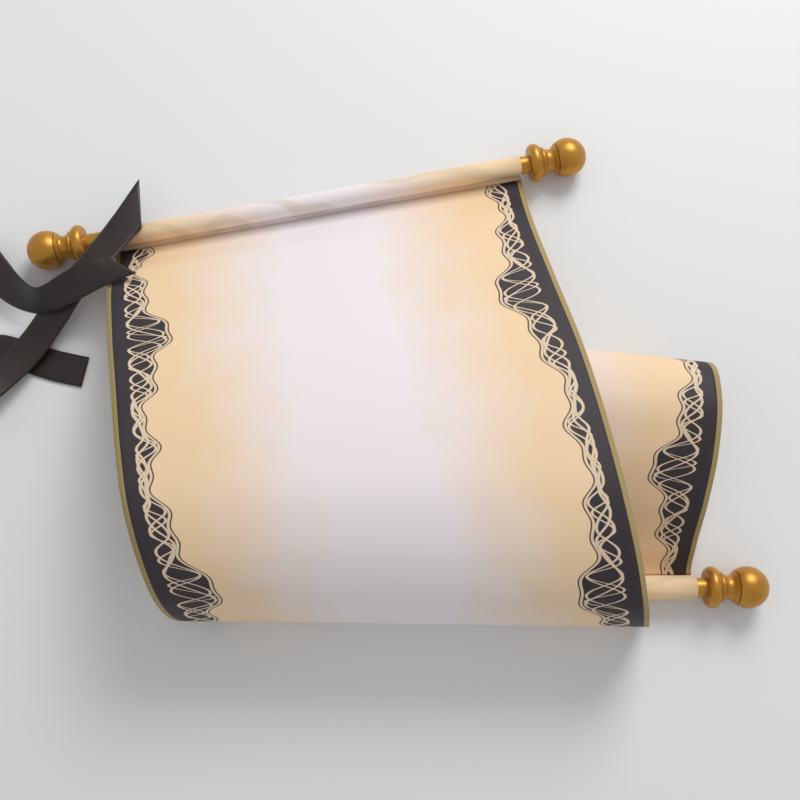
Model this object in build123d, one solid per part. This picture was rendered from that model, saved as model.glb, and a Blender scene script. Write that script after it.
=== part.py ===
from build123d import *
import math
import os

# Paper scroll lying half unrolled: one printed sheet wound on a turned dowel at each end,
# gold finials on the dowels and a satin ribbon lying over the upper dowel.
# +X runs along the lower dowel, +Y towards the upper dowel, +Z up; the table is z = 0.

# ---- driving dimensions, mm ----
sheet_width = 216.0
paper_thickness = 0.3
dowel_diameter = 9.0
ball_diameter = 20.0
socket_depth = 13.0
socket_end_gap = 0.5
fit_clearance = 0.05
upper_wrap_turns = 1.0
lower_wrap_turns = 3.5
right_stub = 5.2
left_stub = 13.4
wrap_lead = 6.0
ribbon_width = 16.0
ribbon_thickness = 0.4

# ---- places that follow from them ----
dowel_radius = dowel_diameter / 2
ball_radius = ball_diameter / 2
upper_wrap_radius = dowel_radius + fit_clearance + upper_wrap_turns * paper_thickness
lower_wrap_radius = dowel_radius + fit_clearance + lower_wrap_turns * paper_thickness
upper_axis_z = ball_radius
lower_axis_z = ball_radius + paper_thickness + fit_clearance

# Middle of each wrap, and the way its dowel points seen from above.
upper_rod_xy = (-63.1, 150.6)
upper_rod_yaw = 10.84
lower_rod_xy = (13.8, -47.0)
lower_rod_yaw = 0.0


def unit(vector):
    return vector * (1 / vector.length)


def ruling(x, y, left_z, right_z, yaw):
    """The printed face's two edge points at one straight line across the sheet."""
    half = Vector(math.cos(math.radians(yaw)), math.sin(math.radians(yaw))) * (sheet_width / 2)
    middle = Vector(x, y)
    left = middle - half
    right = middle + half
    return Vector(left.X, left.Y, left_z), Vector(right.X, right.Y, right_z)


def at_rod(rod_xy, yaw, away, reach, z):
    """A straight line across the sheet, parallel to a dowel and a short way from it."""
    x = rod_xy[0] + reach * math.sin(math.radians(yaw)) * away
    y = rod_xy[1] - reach * math.cos(math.radians(yaw)) * away
    return ruling(x, y, z, z, yaw)


def heading(yaw, away):
    """The way the sheet leaves a dowel: square to it, down the picture for away = 1."""
    return Vector(math.sin(math.radians(yaw)) * away, -math.cos(math.radians(yaw)) * away)


def edge_curve(points, start, end):
    """Smooth chain of cubic curves through points, leaving along start and arriving along end."""
    chords = [b - a for a, b in zip(points, points[1:])]
    slopes = [chord * (1 / chord.length) for chord in chords]
    tangents = [unit(start)]
    for i in range(1, len(points) - 1):
        before, after = chords[i - 1].length, chords[i].length
        tangents.append((slopes[i - 1] * after + slopes[i] * before) * (1 / (before + after)))
    tangents.append(unit(end))
    spans = []
    for i, chord in enumerate(chords):
        third = chord.length / 3
        a, b = points[i], points[i + 1]
        spans.append([a, a + tangents[i] * third, b - tangents[i + 1] * third, b])
    return spans, tangents


def strip(lines, start, end, thickness):
    """Closed solid of a thin bent strip: faces across each pair of straight lines, then its rims."""
    sides = [edge_curve([line[k] for line in lines], start[k], end[k]) for k in (0, 1)]
    fronts, backs = [], []
    for k in (0, 1):
        fronts.append(sides[k][0])
        offset = []
        for line, tangent in zip(lines, sides[k][1]):
            normal = unit((line[1] - line[0]).cross(tangent))
            offset.append(line[k] + normal * thickness)
        backs.append(edge_curve(offset, start[k], end[k])[0])
    faces = []
    for i in range(len(lines) - 1):
        corners = (fronts[0][i], fronts[1][i], backs[1][i], backs[0][i])
        for a, b in zip(corners, corners[1:] + corners[:1]):
            faces.append(Face.make_bezier_surface([a, b]))
    for i, k in ((0, 0), (len(lines) - 2, 3)):
        ring = [fronts[0][i][k], fronts[1][i][k], backs[1][i][k], backs[0][i][k]]
        faces.append(Face.make_bezier_surface([[ring[0], ring[1]], [ring[3], ring[2]]]))
    return Solid(Shell(faces))


def flat_panel(lines, thickness):
    """The stretch of the sheet that lies flat: a level plate between two lines."""
    (a, b), (c, d) = lines
    return extrude(Face(Wire.make_polygon([a, b, d, c])), thickness, dir=(0, 0, 1))


def rod_plane(rod_xy, yaw, axis_z):
    """Section plane at the middle of a wrap: x points where the sheet leaves, z along the dowel."""
    along = Vector(math.cos(math.radians(yaw)), math.sin(math.radians(yaw)), 0)
    level = Vector(-along.Y, along.X, 0)
    return Plane(origin=(rod_xy[0], rod_xy[1], axis_z), x_dir=level, z_dir=along)


def wrap(rod_xy, yaw, axis_z, radius, side):
    """Turns of the sheet round a dowel as one tube, with the flat lead that leaves its underside."""
    lead = side * wrap_lead
    tube = Circle(radius) - Circle(dowel_radius + fit_clearance)
    slab = Pos(lead / 2, -radius + paper_thickness / 2) * Rectangle(wrap_lead, paper_thickness)
    section = tube + (slab - Circle(radius - paper_thickness / 2))
    plane = rod_plane(rod_xy, yaw, axis_z)
    return extrude(plane * section, sheet_width / 2, both=True)


upper_lead_z = upper_axis_z - upper_wrap_radius + paper_thickness
lower_lead_z = lower_axis_z - lower_wrap_radius + paper_thickness

# Straight lines across the sheet: x, y of the middle, heights of the left and right edges, yaw.
front_lines = [
    at_rod(upper_rod_xy, upper_rod_yaw, 1, wrap_lead, upper_lead_z),
    ruling(-60.0, 122.5, 20.5, 20.5, 9.1),
    ruling(-52.5, 86.8, 40.0, 40.0, 7.3),
    ruling(-43.3, 49.8, 58.0, 58.0, 4.9),
    ruling(-36.3, 16.5, 69.0, 69.0, 2.9),
    ruling(-30.0, -14.0, 73.0, 73.0, 1.1),
    ruling(-24.4, -37.0, 67.5, 67.5, 0.0),
    ruling(-19.5, -55.2, 54.5, 54.5, -0.8),
    ruling(-15.8, -62.9, 38.0, 38.0, -0.8),
    ruling(-11.8, -63.6, 20.0, 20.0, -0.6),
    ruling(-9.4, -61.0, 7.0, 7.0, -0.5),
    ruling(-7.6, -51.0, 0.0, 0.0, -0.5),
]
flat_lines = [front_lines[-1], ruling(12.5, 45.5, 0.0, 0.0, -7.2)]
inner_lines = [
    flat_lines[-1],
    ruling(17.5, 66.8, 6.5, 8.0, -7.3),
    ruling(21.7, 73.4, 19.0, 27.0, -7.1),
    ruling(22.0, 66.2, 33.0, 41.0, -6.5),
    ruling(21.3, 47.0, 41.0, 47.5, -5.3),
    ruling(19.3, 20.0, 38.5, 43.5, -2.7),
    ruling(16.5, -6.5, 26.5, 31.5, -0.8),
    ruling(14.6, -28.0, 11.5, 13.5, 0.0),
    at_rod(lower_rod_xy, lower_rod_yaw, -1, wrap_lead, lower_lead_z),
]


def paper_sheet():
    flat_way = [unit(flat_lines[1][k] - flat_lines[0][k]) for k in (0, 1)]
    leave = heading(upper_rod_yaw, 1)
    arrive = heading(lower_rod_yaw, 1)
    spans = [
        strip(front_lines, (leave, leave), flat_way, paper_thickness),
        flat_panel(flat_lines, paper_thickness),
        strip(inner_lines, flat_way, (arrive, arrive), paper_thickness),
        wrap(upper_rod_xy, upper_rod_yaw, upper_axis_z, upper_wrap_radius, -1),
        wrap(lower_rod_xy, lower_rod_yaw, lower_axis_z, lower_wrap_radius, 1),
    ]
    sheet = spans[0]
    for span in spans[1:]:
        sheet = sheet + span
    return sheet


def dowel(rod_xy, yaw, axis_z):
    inside = socket_depth - socket_end_gap
    left = sheet_width / 2 + left_stub + inside
    right = sheet_width / 2 + right_stub + inside
    plane = rod_plane(rod_xy, yaw, axis_z)
    start = plane.origin - plane.z_dir * left
    return extrude(Plane(start, x_dir=plane.x_dir, z_dir=plane.z_dir) * Circle(dowel_radius),
                   left + right)


def finial(rod_xy, yaw, axis_z, end):
    """Turned finial: rounded flange, bead, hollow neck, groove and ball; end is -1 left, +1 right."""
    unit_r = ball_radius / 10
    ball_at = 20.1
    outline = [
        ThreePointArc((0, 8.4), (2.9, 9.9), (5.6, 8.4)),
        Line((5.6, 8.4), (6.4, 7.3)),
        ThreePointArc((6.4, 7.3), (7.2, 7.5), (7.9, 6.8)),
        ThreePointArc((7.9, 6.8), (10.4, 5.7), (13.9, 8.0)),
        Line((13.9, 8.0), (13.9, 0)),
        Line((13.9, 0), (0, 0)),
        Line((0, 0), (0, 8.4)),
    ]
    notch = Wire.make_polygon([(13.9, 9.5), (14.4, 7.4), (14.9, 9.5)])
    stem = revolve(Face(Wire(outline)), Axis.X, 360)
    groove = revolve(Face(notch), Axis.X, 360)
    scaled = (stem + Pos(ball_at, 0, 0) * Sphere(10) - groove).scale(unit_r)
    socket = Plane.YZ * Cylinder(dowel_radius + fit_clearance, 2 * socket_depth)
    stub = right_stub if end > 0 else left_stub
    body = Pos(sheet_width / 2 + stub, 0, 0) * (scaled - socket)
    turn = yaw if end > 0 else yaw + 180
    return Pos(rod_xy[0], rod_xy[1], axis_z) * Rot(0, 0, turn) * body


def ribbon_line(x, y, z, yaw, tilt, length=ribbon_width):
    """A straight line across the ribbon through its middle, at a yaw and a tilt."""
    flat = math.cos(math.radians(tilt))
    half = Vector(math.cos(math.radians(yaw)) * flat, math.sin(math.radians(yaw)) * flat,
                  math.sin(math.radians(tilt))) * (length / 2)
    return Vector(x, y, z) - half, Vector(x, y, z) + half


# Middle, yaw and tilt of lines across the ribbon, from the free tail over the upper dowel,
# down to the table, round a loop, under itself and round a second loop to the other tail.
ribbon_lines = [
    ribbon_line(-154.0, 147.8, 15.2, -83.2, 4.0, 1.75 * ribbon_width),
    ribbon_line(-161.4, 135.0, 16.6, -41.1, 2.0),
    ribbon_line(-168.0, 124.6, 18.0, -38.9, 8.0),
    ribbon_line(-175.7, 113.5, 20.0, -39.2, 14.0),
    ribbon_line(-185.7, 102.4, 16.0, -38.2, 9.0),
    ribbon_line(-195.9, 90.5, 9.6, -40.2, 2.0),
    ribbon_line(-208.6, 73.4, 5.6, -40.2, 0.0),
    ribbon_line(-221.0, 57.8, 8.0, -42.6, 0.0),
    ribbon_line(-233.0, 46.0, 13.0, -56.0, 0.0),
    ribbon_line(-245.0, 46.0, 11.0, -78.0, 0.0),
    ribbon_line(-248.0, 58.0, 4.0, -96.0, 0.0),
    ribbon_line(-240.0, 71.0, 0.8, -100.0, 0.0),
    ribbon_line(-228.4, 73.6, 0.5, -101.0, 0.0),
    ribbon_line(-213.9, 70.2, 0.5, -102.5, 0.0),
    ribbon_line(-196.1, 64.8, 0.5, -103.0, 0.0),
    ribbon_line(-181.3, 61.5, 0.5, -101.0, 0.0),
]
ribbon_tail_lines = [
    ribbon_line(-159.0, 110.6, 27.0, -29.0, 0.0, 1.2 * ribbon_width),
    ribbon_line(-170.0, 106.5, 27.0, -62.0, -8.0),
    ribbon_line(-186.0, 99.5, 22.5, -80.0, -30.0),
    ribbon_line(-203.0, 95.0, 15.5, -98.0, -50.0),
    ribbon_line(-216.0, 101.0, 12.0, -130.0, -30.0),
    ribbon_line(-228.0, 113.0, 11.0, -146.0, -6.0),
    ribbon_line(-240.0, 128.0, 10.0, -150.0, 0.0),
]


def ribbon(lines):
    ways = []
    for first, last in ((0, 1), (-2, -1)):
        middles = [(lines[i][0] + lines[i][1]) * 0.5 for i in (first, last)]
        ways.append(unit(middles[1] - middles[0]))
    return strip(lines, (ways[0], ways[0]), (ways[1], ways[1]), ribbon_thickness)


upper = (upper_rod_xy, upper_rod_yaw, upper_axis_z)
lower = (lower_rod_xy, lower_rod_yaw, lower_axis_z)
nodes = {
    "paper_sheet": paper_sheet(),
    "upper_dowel": dowel(*upper),
    "lower_dowel": dowel(*lower),
    "upper_left_finial": finial(*upper, -1),
    "upper_right_finial": finial(*upper, 1),
    "lower_left_finial": finial(*lower, -1),
    "lower_right_finial": finial(*lower, 1),
    "ribbon": ribbon(ribbon_lines),
    "ribbon_tail": ribbon(ribbon_tail_lines),
}

os.makedirs("parts", exist_ok=True)
for name, shape in nodes.items():
    export_step(shape, f"parts/{name}.step")
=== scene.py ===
import math

import bpy
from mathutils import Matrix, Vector


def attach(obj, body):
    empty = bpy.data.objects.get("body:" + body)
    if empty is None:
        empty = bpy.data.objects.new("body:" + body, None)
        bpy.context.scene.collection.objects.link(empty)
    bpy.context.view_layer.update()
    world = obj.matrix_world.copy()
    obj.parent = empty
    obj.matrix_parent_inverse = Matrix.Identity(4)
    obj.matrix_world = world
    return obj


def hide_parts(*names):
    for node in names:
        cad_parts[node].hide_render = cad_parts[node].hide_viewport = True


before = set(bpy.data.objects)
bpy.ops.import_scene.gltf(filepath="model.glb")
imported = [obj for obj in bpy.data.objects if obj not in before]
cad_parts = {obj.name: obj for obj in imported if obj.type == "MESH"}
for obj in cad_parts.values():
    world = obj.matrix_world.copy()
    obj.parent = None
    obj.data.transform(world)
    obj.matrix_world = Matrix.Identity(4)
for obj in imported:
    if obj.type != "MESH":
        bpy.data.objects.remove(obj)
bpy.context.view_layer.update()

MM = 0.001

# ---- sizes shared with the construction, mm ----
SHEET_WIDTH = 216.0
PAPER = 0.3
DOWEL_RADIUS = 4.5
BALL_RADIUS = 10.0
CLEARANCE = 0.05
WRAP_LEAD = 6.0
RIBBON_WIDTH = 16.0
RIBBON_THICKNESS = 0.4
# Middle of each wrap, the way its dowel points, the height of its axis and the sheet's turns on it.
UPPER = {"xy": (-63.1, 150.6), "yaw": 10.84, "z": BALL_RADIUS, "turns": 1.0}
LOWER = {"xy": (13.8, -47.0), "yaw": 0.0, "z": BALL_RADIUS + PAPER + CLEARANCE, "turns": 3.5}

# Straight lines across the sheet: x and y of the middle, heights of the left and right edges, yaw.
FRONT_LINES = [
    (-60.0, 122.5, 20.5, 20.5, 9.1),
    (-52.5, 86.8, 40.0, 40.0, 7.3),
    (-43.3, 49.8, 58.0, 58.0, 4.9),
    (-36.3, 16.5, 69.0, 69.0, 2.9),
    (-30.0, -14.0, 73.0, 73.0, 1.1),
    (-24.4, -37.0, 67.5, 67.5, 0.0),
    (-19.5, -55.2, 54.5, 54.5, -0.8),
    (-15.8, -62.9, 38.0, 38.0, -0.8),
    (-11.8, -63.6, 20.0, 20.0, -0.6),
    (-9.4, -61.0, 7.0, 7.0, -0.5),
    (-7.6, -51.0, 0.0, 0.0, -0.5),
]
LIFT_OFF_LINE = (12.5, 45.5, 0.0, 0.0, -7.2)
INNER_LINES = [
    (17.5, 66.8, 6.5, 8.0, -7.3),
    (21.7, 73.4, 19.0, 27.0, -7.1),
    (22.0, 66.2, 33.0, 41.0, -6.5),
    (21.3, 47.0, 41.0, 47.5, -5.3),
    (19.3, 20.0, 38.5, 43.5, -2.7),
    (16.5, -6.5, 26.5, 31.5, -0.8),
    (14.6, -28.0, 11.5, 13.5, 0.0),
]

# Straight lines across a ribbon: x, y and z of the middle, yaw, tilt, and the length of a slanted cut.
RIBBON_LINES = [
    (-154.0, 147.8, 15.2, -83.2, 4.0, 1.75 * RIBBON_WIDTH),
    (-161.4, 135.0, 16.6, -41.1, 2.0),
    (-168.0, 124.6, 18.0, -38.9, 8.0),
    (-175.7, 113.5, 20.0, -39.2, 14.0),
    (-185.7, 102.4, 16.0, -38.2, 9.0),
    (-195.9, 90.5, 9.6, -40.2, 2.0),
    (-208.6, 73.4, 5.6, -40.2, 0.0),
    (-221.0, 57.8, 8.0, -42.6, 0.0),
    (-233.0, 46.0, 13.0, -56.0, 0.0),
    (-245.0, 46.0, 11.0, -78.0, 0.0),
    (-248.0, 58.0, 4.0, -96.0, 0.0),
    (-240.0, 71.0, 0.8, -100.0, 0.0),
    (-228.4, 73.6, 0.5, -101.0, 0.0),
    (-213.9, 70.2, 0.5, -102.5, 0.0),
    (-196.1, 64.8, 0.5, -103.0, 0.0),
    (-181.3, 61.5, 0.5, -101.0, 0.0),
]
SECOND_TAIL_LINES = [
    (-159.0, 110.6, 27.0, -29.0, 0.0, 1.2 * RIBBON_WIDTH),
    (-170.0, 106.5, 27.0, -62.0, -8.0),
    (-186.0, 99.5, 22.5, -80.0, -30.0),
    (-203.0, 95.0, 15.5, -98.0, -50.0),
    (-216.0, 101.0, 12.0, -130.0, -30.0),
    (-228.0, 113.0, 11.0, -146.0, -6.0),
    (-240.0, 128.0, 10.0, -150.0, 0.0),
]

# ---- fineness of the meshes ----
SPAN_STEPS = 14
FLAT_STEPS = 20
SHEET_ACROSS = 48
TURN_STEPS = 72
WRAP_ACROSS = 8
RIBBON_STEPS = 10
RIBBON_ACROSS = 8

# ---- the spiral turns, kept just apart ----
TURN_SHORTFALL = 0.02
TURN_THICKNESS = PAPER * 0.9

# ---- the printed border, mm ----
BORDER_REPEAT = 143.0
BAND_WIDTH = 14.5
SWELL_WIDTH = 12.0
EDGE_LINE_WIDTH = 2.3
EDGE_SOFTNESS = 0.25
# Each woven line's start, in radians, and its waves in one repeat.
WOVEN_LINES = ((0.0, 7.0), (math.pi, 7.0), (0.7, 11.0), (2.4, 5.0))


def wrap_radius(rod):
    return DOWEL_RADIUS + CLEARANCE + rod["turns"] * PAPER


# ---- shader maths ----
def linear(r, g, b):
    """A colour as seen on a screen, turned to the renderer's linear values."""
    return tuple(c / 12.92 if c <= 0.04045 else ((c + 0.055) / 1.055) ** 2.4 for c in (r, g, b)) + (1.0,)


class Finish:
    """One material's node tree; node() adds any node and returns one of its outputs as a Wire."""

    def __init__(self, name):
        self.material = bpy.data.materials.new(name)
        self.material.use_nodes = True
        self.tree = self.material.node_tree
        self.shader = self.tree.nodes["Principled BSDF"]

    def node(self, kind, settings=None, out=0, **inputs):
        """Inputs are named for their sockets, or i0, i1 and so on where a name isn't unique."""
        made = self.tree.nodes.new(kind)
        for key, value in (settings or {}).items():
            setattr(made, key, value)
        for key, value in inputs.items():
            socket = made.inputs[int(key[1:])] if key[1:].isdigit() else made.inputs[key.replace("_", " ")]
            self.feed(socket, value)
        return Wire(self, made.outputs[out])

    def feed(self, socket, value):
        if isinstance(value, Wire):
            self.tree.links.new(value.socket, socket)
        else:
            socket.default_value = value

    def mix(self, share, a, b):
        return self.node("ShaderNodeMix", {"data_type": "RGBA"}, 2, i0=share, i6=a, i7=b)

    def bump(self, height, strength, distance):
        made = self.node("ShaderNodeBump", Height=height, Strength=strength, Distance=distance)
        self.feed(self.shader.inputs["Normal"], made)


class Wire:
    """A number on a wire, with the arithmetic that the finishes use."""

    def __init__(self, finish, socket):
        self.finish = finish
        self.socket = socket

    def maths(self, operation, other=0.0, third=0.0):
        return self.finish.node("ShaderNodeMath", {"operation": operation}, i0=self, i1=other, i2=third)

    def __add__(self, other):
        return self.maths("ADD", other)

    def __sub__(self, other):
        return self.maths("SUBTRACT", other)

    def __rsub__(self, other):
        return self.maths("MULTIPLY", -1.0).maths("ADD", other)

    def __mul__(self, other):
        return self.maths("MULTIPLY", other)

    def __truediv__(self, other):
        return self.maths("DIVIDE", other)

    __radd__ = __add__
    __rmul__ = __mul__

    def sine(self):
        return self.maths("SINE")

    def size(self):
        return self.maths("ABSOLUTE")

    def clamped(self):
        return self.maths("MINIMUM", 1.0).maths("MAXIMUM", 0.0)

    def below(self, other):
        """1 where this is smaller than other, with a short soft edge."""
        return ((other - self) / EDGE_SOFTNESS + 0.5).clamped()


# ---- bent strips ----
def hermite(points, start, end, steps):
    """Smooth curve through points, leaving along start and arriving along end."""
    chords = [b - a for a, b in zip(points, points[1:])]
    slopes = [chord.normalized() for chord in chords]
    ways = [start.normalized()]
    for i in range(1, len(points) - 1):
        before, after = chords[i - 1].length, chords[i].length
        ways.append((slopes[i - 1] * after + slopes[i] * before) / (before + after))
    ways.append(end.normalized())
    curve = []
    for i, chord in enumerate(chords):
        for k in range(steps):
            t = k / steps
            reach = chord.length
            curve.append(points[i] * (2 * t ** 3 - 3 * t ** 2 + 1)
                         + ways[i] * (reach * (t ** 3 - 2 * t ** 2 + t))
                         + points[i + 1] * (3 * t ** 2 - 2 * t ** 3)
                         + ways[i + 1] * (reach * (t ** 3 - t ** 2)))
    curve.append(points[-1])
    return curve


def level_line(x, y, left_z, right_z, yaw):
    """Both ends of a straight line across the sheet, level or with its two ends at other heights."""
    half = Vector((math.cos(math.radians(yaw)), math.sin(math.radians(yaw)), 0)) * (SHEET_WIDTH / 2)
    middle = Vector((x, y, 0))
    return middle - half + Vector((0, 0, left_z)), middle + half + Vector((0, 0, right_z))


def tilted_line(x, y, z, yaw, tilt, length=RIBBON_WIDTH):
    """Both ends of a straight line across a ribbon, through its middle."""
    flat = math.cos(math.radians(tilt))
    half = Vector((math.cos(math.radians(yaw)) * flat, math.sin(math.radians(yaw)) * flat,
                   math.sin(math.radians(tilt)))) * (length / 2)
    return Vector((x, y, z)) - half, Vector((x, y, z)) + half


def at_rod(rod, away):
    """The sheet's straight line where it leaves a dowel, on its printed face."""
    yaw = math.radians(rod["yaw"])
    reach = WRAP_LEAD * away
    z = rod["z"] - wrap_radius(rod) + PAPER
    return level_line(rod["xy"][0] + reach * math.sin(yaw), rod["xy"][1] - reach * math.cos(yaw),
                      z, z, rod["yaw"])


def square_to(rod):
    """The level way square to a dowel, towards the front."""
    yaw = math.radians(rod["yaw"])
    return Vector((math.sin(yaw), -math.cos(yaw), 0))


def thin_mesh(name, left, right, thickness, across):
    """Closed mesh of a strip between two edge curves, with flat coordinates in mm as its UV map."""
    verts, flat = [], []
    along = [0.0]
    for i in range(1, len(left)):
        step = ((left[i] - left[i - 1]).length + (right[i] - right[i - 1]).length) / 2
        along.append(along[-1] + step)
    rows = len(left)
    for side in (0, 1):
        for i in range(rows):
            a, b = left[i], right[i]
            before, after = max(i - 1, 0), min(i + 1, rows - 1)
            for k in range(across + 1):
                t = k / across
                way = (left[after] - left[before]).lerp(right[after] - right[before], t)
                normal = (b - a).cross(way).normalized()
                verts.append((a.lerp(b, t) + normal * (thickness * side)) * MM)
                flat.append((t, along[i]))
    width = across + 1
    faces, slots = [], []
    for i in range(rows - 1):
        for k in range(across):
            a = i * width + k
            quad = (a, a + width, a + width + 1, a + 1)
            faces.append(quad)
            slots.append(0)
            faces.append(tuple(v + rows * width for v in reversed(quad)))
            slots.append(1)
    rim = [i * width for i in range(rows)]
    rim += [(rows - 1) * width + k for k in range(1, across + 1)]
    rim += [i * width + across for i in range(rows - 2, -1, -1)]
    rim += [k for k in range(across - 1, 0, -1)]
    for a, b in zip(rim, rim[1:] + rim[:1]):
        faces.append((b, a, a + rows * width, b + rows * width))
        slots.append(1)
    mesh = bpy.data.meshes.new(name)
    mesh.from_pydata(verts, [], faces)
    uv = mesh.uv_layers.new(name="flat")
    for loop in mesh.loops:
        uv.data[loop.index].uv = flat[loop.vertex_index]
    for polygon, slot in zip(mesh.polygons, slots):
        polygon.material_index = slot
        polygon.use_smooth = True
    mesh.update()
    piece = bpy.data.objects.new(name, mesh)
    bpy.context.scene.collection.objects.link(piece)
    return piece, along[-1]


def printed_sheet():
    """The sheet between its two wraps: over the front arch, flat along the table, and back inside."""
    front = [at_rod(UPPER, 1)] + [level_line(*line) for line in FRONT_LINES]
    lift_off = level_line(*LIFT_OFF_LINE)
    inner = [lift_off] + [level_line(*line) for line in INNER_LINES] + [at_rod(LOWER, -1)]
    edges = []
    for k in (0, 1):
        flat_way = lift_off[k] - front[-1][k]
        curve = hermite([line[k] for line in front], square_to(UPPER), flat_way, SPAN_STEPS)
        curve += [front[-1][k].lerp(lift_off[k], t / FLAT_STEPS) for t in range(1, FLAT_STEPS)]
        curve += hermite([line[k] for line in inner], flat_way, square_to(LOWER), SPAN_STEPS)
        edges.append(curve)
    return thin_mesh("sheet_print", edges[0], edges[1], PAPER, SHEET_ACROSS)[0]


def rod_wrap(name, rod, side):
    """The turns of the sheet round a dowel: a spiral that winds inwards from the flat lead."""
    yaw = math.radians(rod["yaw"])
    along = Vector((math.cos(yaw), math.sin(yaw), 0))
    away = square_to(rod) * side
    centre = Vector((rod["xy"][0], rod["xy"][1], rod["z"]))
    outer = wrap_radius(rod)
    path = [centre + away * WRAP_LEAD - Vector((0, 0, outer))]
    for i in range(int(TURN_STEPS * (rod["turns"] - TURN_SHORTFALL)) + 1):
        angle = 2 * math.pi * i / TURN_STEPS
        radius = outer - PAPER * angle / (2 * math.pi)
        path.append(centre - away * (math.sin(angle) * radius) - Vector((0, 0, math.cos(angle) * radius)))
    half = along * (SHEET_WIDTH / 2) * side
    return thin_mesh(name, [p + half for p in path], [p - half for p in path], TURN_THICKNESS,
                     WRAP_ACROSS)[0]


# ---- finishes ----
def flat_coordinates(finish):
    """Share of the width across a strip, and mm along it."""
    across = finish.node("ShaderNodeSeparateXYZ", i0=finish.node("ShaderNodeUVMap", {"uv_map": "flat"}))
    along = Wire(finish, across.socket.node.outputs[1])
    return across, along


def in_the_solid(finish):
    """The point's own place in the object, in metres."""
    return finish.node("ShaderNodeTexCoord", out=3)


def aged_paper(finish, across):
    """Nearly white down the middle, warmer towards both edges, with faint mottling."""
    pale = linear(0.95, 0.91, 0.91)
    parchment = linear(0.96, 0.83, 0.66)
    noise = finish.node("ShaderNodeTexNoise", Scale=38.0, Detail=4.0, Vector=in_the_solid(finish))
    from_middle = (across - 0.5).size() * 2.0
    warm = ((from_middle - 0.22 + (noise - 0.5) * 0.35) / 0.5).clamped()
    return finish.mix(warm, pale, parchment), noise


def print_finish():
    """Aged paper with a dark scalloped border, interlaced cream lines and an olive gold edge line."""
    finish = Finish("printed_paper")
    across, along = flat_coordinates(finish)
    colour, noise = aged_paper(finish, across)
    edge = (0.5 - (across - 0.5).size()) * SHEET_WIDTH
    turn = along * (2 * math.pi / BORDER_REPEAT)
    swell = ((turn - 1.85).sine() * 0.5 + 0.5).maths("POWER", 3.0)
    scallop = (turn * 4.0 + 0.8).sine()
    contour = swell * SWELL_WIDTH + scallop * 2.6 + (turn * 9.0).sine() * 1.5 + BAND_WIDTH
    outline = (edge - contour - 1.5).size().below(0.35)
    lines = (edge - contour - 0.6).size().below(0.55)
    for phase, rate in WOVEN_LINES:
        weave = (turn * rate + phase).sine() * (contour - 9.0) * 0.45 + (contour + 8.6) * 0.5
        lines = lines.maths("MAXIMUM", (edge - weave).size().below(0.62))
    band = finish.mix(noise, linear(0.15, 0.15, 0.17), linear(0.23, 0.17, 0.18))
    colour = finish.mix(edge.below(contour), colour, band)
    colour = finish.mix(outline, colour, linear(0.24, 0.17, 0.15))
    colour = finish.mix(lines, colour, linear(0.90, 0.80, 0.68))
    colour = finish.mix(edge.below(EDGE_LINE_WIDTH), colour, linear(0.69, 0.60, 0.39))
    finish.feed(finish.shader.inputs["Base Color"], colour)
    finish.shader.inputs["Roughness"].default_value = 0.62
    finish.bump(noise, 0.08, 0.0005)
    return finish.material


def back_finish():
    """The sheet's back: cream, nearly white in the middle, with faint vine swirls."""
    finish = Finish("paper_back")
    paper, _ = aged_paper(finish, flat_coordinates(finish)[0])
    swirl = finish.node("ShaderNodeTexWave", {"wave_type": "RINGS"}, out=1, Scale=22.0, Distortion=9.0,
                        Detail=1.0, Vector=in_the_solid(finish))
    vine = ((swirl - 0.72) * 5.0).clamped() * 0.35
    finish.feed(finish.shader.inputs["Base Color"], finish.mix(vine, paper, linear(0.80, 0.74, 0.60)))
    finish.shader.inputs["Roughness"].default_value = 0.65
    return finish.material


def gold_finish():
    """Brushed gold paint over turned wood."""
    finish = Finish("gold_paint")
    where = in_the_solid(finish)
    patch = finish.node("ShaderNodeTexNoise", Scale=160.0, Detail=3.0, Vector=where)
    grain = finish.node("ShaderNodeTexNoise", Scale=900.0, Detail=2.0, Vector=where)
    colour = finish.mix(patch, linear(0.70, 0.48, 0.16), linear(0.84, 0.62, 0.27))
    finish.feed(finish.shader.inputs["Base Color"], colour)
    finish.shader.inputs["Metallic"].default_value = 0.65
    finish.feed(finish.shader.inputs["Roughness"], patch * 0.2 + 0.28)
    finish.bump(grain, 0.25, 0.0003)
    return finish.material


def satin_finish():
    """Dark brown satin with fine threads across the ribbon."""
    finish = Finish("brown_satin")
    thread = (flat_coordinates(finish)[1] * 14.0).sine()
    noise = finish.node("ShaderNodeTexNoise", Scale=60.0, Vector=in_the_solid(finish))
    colour = finish.mix(noise, linear(0.11, 0.07, 0.055), linear(0.19, 0.13, 0.10))
    finish.feed(finish.shader.inputs["Base Color"], colour)
    finish.shader.inputs["Roughness"].default_value = 0.42
    finish.shader.inputs["Sheen Weight"].default_value = 0.12
    finish.bump(thread, 0.1, 0.0001)
    return finish.material


# ---- pieces ----
printed = print_finish()
back = back_finish()
gold = gold_finish()
satin = satin_finish()

sheet = printed_sheet()
upper_wrap = rod_wrap("upper_wrap", UPPER, 1)
lower_wrap = rod_wrap("lower_wrap", LOWER, -1)
for piece, outer_face in ((sheet, printed), (upper_wrap, back), (lower_wrap, back)):
    piece.data.materials.append(outer_face)
    piece.data.materials.append(back)
    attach(piece, "root")
    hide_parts("paper_sheet")


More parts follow.
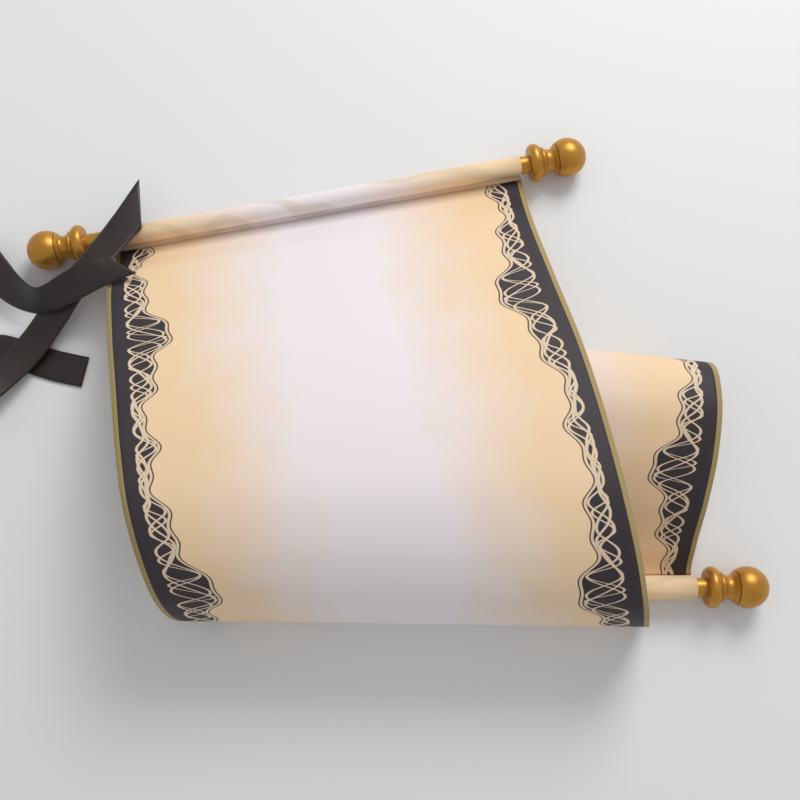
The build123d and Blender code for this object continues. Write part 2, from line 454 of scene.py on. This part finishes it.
def ribbon(name, node, lines):
    """A satin strip through straight lines across it, in place of its plain solid."""
    ways = [(lines[b][0] + lines[b][1] - lines[a][0] - lines[a][1]) for a, b in ((0, 1), (-2, -1))]
    left = hermite([line[0] for line in lines], ways[0], ways[1], RIBBON_STEPS)
    right = hermite([line[1] for line in lines], ways[0], ways[1], RIBBON_STEPS)
    piece, length = thin_mesh(name, left, right, RIBBON_THICKNESS, RIBBON_ACROSS)
    piece.data.materials.append(satin)
    piece.data.materials.append(satin)
    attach(piece, "root")
    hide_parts(node)


ribbon("ribbon_length", "ribbon", [tilted_line(*line) for line in RIBBON_LINES])
ribbon("ribbon_second_tail", "ribbon_tail", [tilted_line(*line) for line in SECOND_TAIL_LINES])

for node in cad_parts:
    shown = bpy.data.objects.get(node)
    if shown and ("finial" in node or "dowel" in node):
        shown.data.materials.clear()
        shown.data.materials.append(gold)


# ---- floor, light and camera ----
def table_top():
    """A wide pale table, just under the scroll so that the two faces don't flicker."""
    finish = Finish("pale_table")
    noise = finish.node("ShaderNodeTexNoise", Scale=3.0, Vector=in_the_solid(finish))
    finish.feed(finish.shader.inputs["Base Color"],
                finish.mix(noise, linear(0.92, 0.92, 0.915), linear(0.95, 0.95, 0.945)))
    finish.shader.inputs["Roughness"].default_value = 0.7
    mesh = bpy.data.meshes.new("table_top")
    half = 2.0
    drop = -0.0002
    mesh.from_pydata([(-half, -half, drop), (half, -half, drop), (half, half, drop),
                      (-half, half, drop)], [], [(0, 1, 2, 3)])
    floor = bpy.data.objects.new("table_top", mesh)
    mesh.materials.append(finish.material)
    bpy.context.scene.collection.objects.link(floor)


def soft_lamp(name, place, size, power):
    """A square lamp at a place, in metres, that faces the scroll."""
    lamp = bpy.data.lights.new(name, "AREA")
    lamp.size = size
    lamp.energy = power
    holder = bpy.data.objects.new(name, lamp)
    holder.location = place
    holder.rotation_euler = (-Vector(place)).to_track_quat("-Z", "Y").to_euler()
    bpy.context.scene.collection.objects.link(holder)


def room_light(colour, strength):
    world = bpy.data.worlds.new("room")
    world.use_nodes = True
    background = world.node_tree.nodes["Background"]
    background.inputs["Color"].default_value = colour
    background.inputs["Strength"].default_value = strength
    bpy.context.scene.world = world


def camera(place, lean, lens):
    """A camera that looks down on the scroll, leaning towards the upper dowel, in degrees."""
    view = bpy.data.cameras.new("view")
    view.lens = lens
    view.sensor_width = 36.0
    view.clip_start = 0.01
    eye = bpy.data.objects.new("view", view)
    eye.location = place
    eye.rotation_euler = (math.radians(lean), 0, 0)
    bpy.context.scene.collection.objects.link(eye)
    bpy.context.scene.camera = eye


table_top()
soft_lamp("window", (0.35, 0.95, 0.9), 0.6, 9.5)
room_light(linear(0.97, 0.98, 1.0), 0.52)
camera((-0.020, -0.0572, 0.4995), 11.8, 45.0)
bpy.context.scene.view_settings.view_transform = "Standard"
